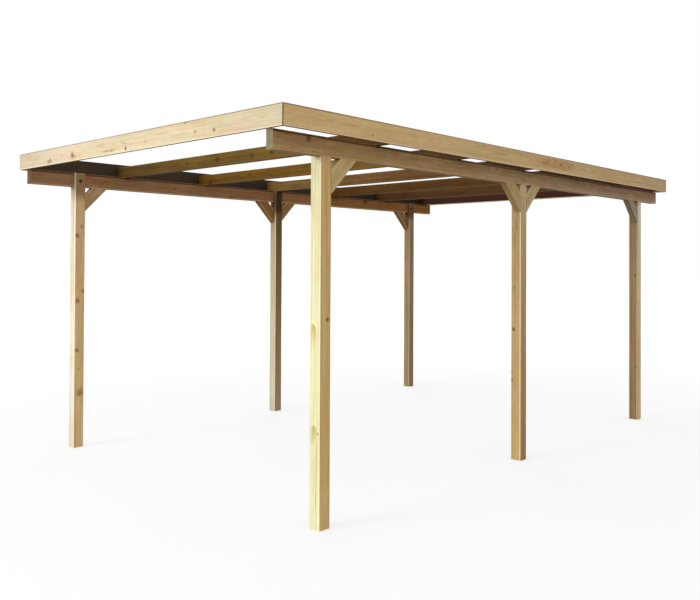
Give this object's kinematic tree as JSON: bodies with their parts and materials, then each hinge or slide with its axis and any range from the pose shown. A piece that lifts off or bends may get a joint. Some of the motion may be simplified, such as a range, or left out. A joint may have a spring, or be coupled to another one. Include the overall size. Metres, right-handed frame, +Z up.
{
  "type": "open timber carport frame",
  "caption": "Open timber carport: square posts carry two long beams with knee braces, cross rafters and a flat roof frame of fascia boards.",
  "frame": {"origin": "centre of the roof outline, on the floor", "axes": "+X to the right-hand side, +Y from the front to the rear along the length, +Z up"},
  "size_m": [3.3, 5.5, 2.5],
  "materials": {
    "post_timber": "planed softwood, pressure treated",
    "beam_timber": "planed softwood, pressure treated",
    "brace_timber": "planed softwood, pressure treated",
    "rafter_timber": "planed softwood, pressure treated",
    "fascia_timber": "planed softwood, pressure treated",
    "fixings": "zinc-plated steel bolts and screws, dulled by weather"
  },
  "bodies": {
    "root": {"beam_right": "beam_timber", "post_front_right": "post_timber", "post_middle_right": "post_timber", "post_rear_right": "post_timber", "brace_front_right_to_rear": "brace_timber", "brace_middle_right_to_front": "brace_timber", "brace_middle_right_to_rear": "brace_timber", "brace_rear_right_to_front": "brace_timber", "beam_left": "beam_timber", "post_front_left": "post_timber", "post_middle_left": "post_timber", "post_rear_left": "post_timber", "brace_front_left_to_rear": "brace_timber", "brace_middle_left_to_front": "brace_timber", "brace_middle_left_to_rear": "brace_timber", "brace_rear_left_to_front": "brace_timber", "rafter_1": "rafter_timber", "rafter_2": "rafter_timber", "rafter_3": "rafter_timber", "rafter_4": "rafter_timber", "rafter_5": "rafter_timber", "fascia_front": "fascia_timber", "fascia_right": "fascia_timber", "fascia_rear": "fascia_timber", "fascia_left": "fascia_timber"}
  },
  "joints": []
}
